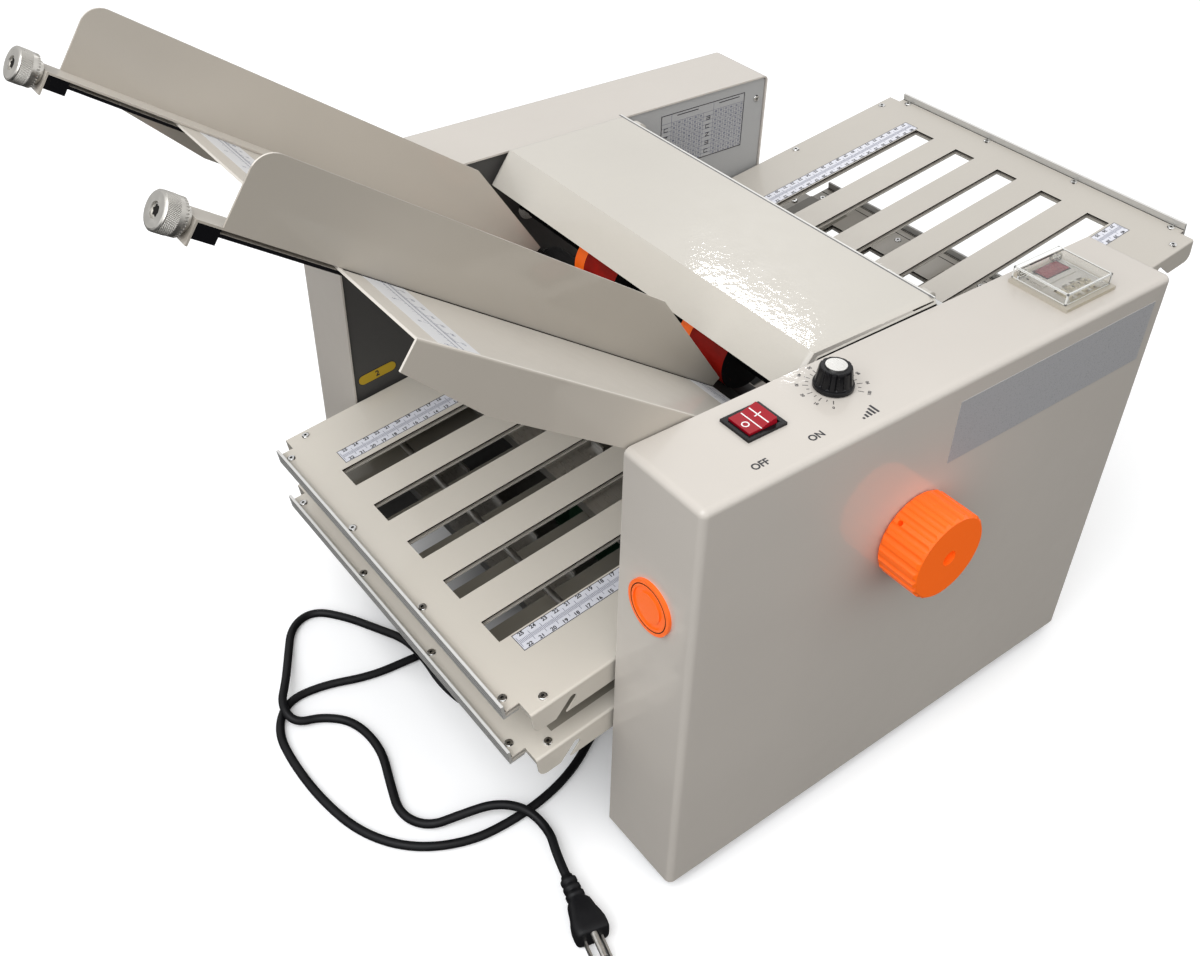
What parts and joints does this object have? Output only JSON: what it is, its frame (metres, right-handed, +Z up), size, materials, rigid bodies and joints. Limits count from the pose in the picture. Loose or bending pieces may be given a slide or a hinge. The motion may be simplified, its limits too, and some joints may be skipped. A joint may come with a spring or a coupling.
{
  "type": "paper folding machine",
  "caption": "Desk paper folding machine with a sloping feed table, sliding side guides, slotted fold trays, geared fold rollers, hinged cover, handwheel, controls and mains lead.",
  "frame": {"origin": "on the floor, at the centre of the two housings' footprint", "axes": "+X runs back from the feed table along the housings, +Y from the control side to the far side, +Z up"},
  "size_m": [0.8491, 0.5433, 0.5674],
  "materials": {
    "housing_paint": "satin",
    "tray_paint": "satin",
    "frame_grey": "satin",
    "steel": "brushed",
    "bright_steel": "polished",
    "alloy": "satin",
    "black_plastic": "matte",
    "gear_plastic": "matte",
    "grey_rubber": "matte",
    "foot_rubber": "matte",
    "wheel_rubber": "matte",
    "orange_plastic": "gloss",
    "red_plastic": "gloss",
    "clear_plastic": "clear",
    "cream_plastic": "matte",
    "board_green": "matte",
    "brass": "polished"
  },
  "bodies": {
    "root": {"near_housing": "housing_paint", "far_housing": "housing_paint", "near_frame": "frame_grey", "far_frame": "frame_grey", "roller_bearings": "bright_steel", "rubber_feet": "foot_rubber", "base_plate": "steel", "tie_rods": "steel", "cover_hinge_rod": "bright_steel", "motor": "black_plastic", "drive_belt": "foot_rubber", "paper_chutes": "steel", "feed_table": "tray_paint", "fold_tray_1": "tray_paint", "fold_tray_2": "tray_paint", "fold_tray_3": "tray_paint", "fold_tray_4": "tray_paint", "tray_base_plates": "steel", "tray_end_channels": "alloy", "machine_screws": "bright_steel", "front_cap": "orange_plastic", "switch_bezel": "black_plastic", "counter_case": "cream_plastic", "counter_panel": "cream_plastic", "control_board": "board_green", "mains_cord": "black_plastic", "cord_gland": "black_plastic", "plug_body": "black_plastic", "plug_prongs": "brass"},
    "drive": {"handwheel": "orange_plastic", "fold_roller_1": "steel", "roller_1_sleeve": "grey_rubber"},
    "roller_2": {"fold_roller_2": "steel"},
    "roller_3": {"fold_roller_3": "steel", "roller_3_sleeve": "grey_rubber"},
    "roller_4": {"fold_roller_4": "steel"},
    "roller_5": {"fold_roller_5": "steel", "roller_5_sleeve": "grey_rubber"},
    "roller_6": {"fold_roller_6": "steel"},
    "idler": {"idler_gear": "gear_plastic"},
    "feeder": {"feed_shaft": "steel", "feed_wheel_tyres": "wheel_rubber", "feed_wheel_hubs": "orange_plastic"},
    "motor_rotor": {"motor_pulley": "alloy"},
    "speed_dial": {"speed_knob": "black_plastic", "speed_knob_cap": "alloy"},
    "rocker": {"switch_rocker": "red_plastic"},
    "counter_lid": {"counter_cover": "clear_plastic"},
    "thumb_wheels": {"counter_wheels": "cream_plastic"},
    "cover": {"top_cover": "housing_paint"},
    "near_slider": {"near_guide": "tray_paint", "near_guide_block": "black_plastic"},
    "near_screw": {"near_guide_screw": "bright_steel"},
    "far_slider": {"far_guide": "tray_paint", "far_guide_block": "black_plastic"},
    "far_screw": {"far_guide_screw": "bright_steel"},
    "stop_1": {"paper_stop_1": "steel"},
    "stop_2": {"paper_stop_2": "steel"},
    "stop_3": {"paper_stop_3": "steel"},
    "stop_4": {"paper_stop_4": "steel"}
  },
  "joints": [
    {"name": "drive_spin", "type": "hinge", "parent": "root", "child": "drive", "pos_m": [-0.0285, 0, 0.257], "axis": [0, 1, 0], "continuous": true},
    {"name": "roller_2_spin", "type": "hinge", "parent": "root", "child": "roller_2", "pos_m": [-0.02386, 0, 0.22501], "axis": [0, 1, 0], "continuous": true},
    {"name": "roller_3_spin", "type": "hinge", "parent": "root", "child": "roller_3", "pos_m": [-0.00334, 0, 0.20272], "axis": [0, 1, 0], "continuous": true},
    {"name": "roller_4_spin", "type": "hinge", "parent": "root", "child": "roller_4", "pos_m": [-0.01667, 0, 0.17551], "axis": [0, 1, 0], "continuous": true},
    {"name": "roller_5_spin", "type": "hinge", "parent": "root", "child": "roller_5", "pos_m": [0.00385, 0, 0.15321], "axis": [0, 1, 0], "continuous": true},
    {"name": "roller_6_spin", "type": "hinge", "parent": "root", "child": "roller_6", "pos_m": [-0.00948, 0, 0.126], "axis": [0, 1, 0], "continuous": true},
    {"name": "idler_spin", "type": "hinge", "parent": "root", "child": "idler", "pos_m": [-0.04092, 0, 0.28684], "axis": [0, 1, 0], "continuous": true},
    {"name": "feed_spin", "type": "hinge", "parent": "root", "child": "feeder", "pos_m": [-0.04372, 0, 0.31396], "axis": [0, 1, 0], "continuous": true},
    {"name": "motor_spin", "type": "hinge", "parent": "root", "child": "motor_rotor", "pos_m": [0.12, 0, 0.07984], "axis": [0, 1, 0], "continuous": true},
    {"name": "speed_turn", "type": "hinge", "parent": "root", "child": "speed_dial", "pos_m": [-0.079, -0.2083, 0.372], "axis": [0, 0, -1], "range_deg": [0, 300]},
    {"name": "switch_rock", "type": "hinge", "parent": "root", "child": "rocker", "pos_m": [-0.1462, -0.2077, 0.368], "axis": [0, 1, 0], "range_deg": [0, 16]},
    {"name": "counter_lid_hinge", "type": "hinge", "parent": "root", "child": "counter_lid", "pos_m": [0.14375, -0.1922, 0.3775], "axis": [-1, 0, 0], "range_deg": [0, 110]},
    {"name": "thumb_wheel_turn", "type": "hinge", "parent": "root", "child": "thumb_wheels", "pos_m": [0.14375, -0.2265, 0.3705], "axis": [1, 0, 0], "continuous": true},
    {"name": "cover_hinge", "type": "hinge", "parent": "root", "child": "cover", "pos_m": [0.0565, 0, 0.366], "axis": [0, 1, 0], "range_deg": [0, 100]},
    {"name": "near_guide_slide", "type": "slide", "parent": "root", "child": "near_slider", "axis": [0, 1, 0], "range_m": [-0.065, 0.06]},
    {"name": "far_guide_slide", "type": "slide", "parent": "root", "child": "far_slider", "axis": [0, 1, 0], "range_m": [-0.06, 0.045]},
    {"name": "near_screw_turn", "type": "hinge", "parent": "near_slider", "child": "near_screw", "pos_m": [-0.42129, -0.092, 0.54159], "axis": [0.8221, 0, -0.5693], "continuous": true},
    {"name": "far_screw_turn", "type": "hinge", "parent": "far_slider", "child": "far_screw", "pos_m": [-0.42129, 0.112, 0.54159], "axis": [0.8221, 0, -0.5693], "continuous": true},
    {"name": "stop_1_slide", "type": "slide", "parent": "root", "child": "stop_1", "axis": [0.9896, 0, 0.1437], "range_m": [-0.09493, 0.21707]},
    {"name": "stop_2_slide", "type": "slide", "parent": "root", "child": "stop_2", "axis": [-0.9896, 0, -0.1437], "range_m": [-0.02203, 0.13997]},
    {"name": "stop_3_slide", "type": "slide", "parent": "root", "child": "stop_3", "axis": [0.9896, 0, 0.1437], "range_m": [-0.05206, 0.10994]},
    {"name": "stop_4_slide", "type": "slide", "parent": "root", "child": "stop_4", "axis": [-0.9896, 0, -0.1437], "range_m": [-0.09098, 0.07102]}
  ],
  "couplings": [
    {"joint": "roller_2_spin", "follows": "drive_spin", "ratio": -1.1333},
    {"joint": "roller_3_spin", "follows": "drive_spin", "ratio": 1.1333},
    {"joint": "roller_4_spin", "follows": "drive_spin", "ratio": -1.1333},
    {"joint": "roller_5_spin", "follows": "drive_spin", "ratio": 1.1333},
    {"joint": "roller_6_spin", "follows": "drive_spin", "ratio": -1.1333},
    {"joint": "idler_spin", "follows": "drive_spin", "ratio": -1.1333},
    {"joint": "feed_spin", "follows": "drive_spin", "ratio": 1.4167},
    {"joint": "motor_spin", "follows": "drive_spin", "ratio": -2.6444}
  ]
}
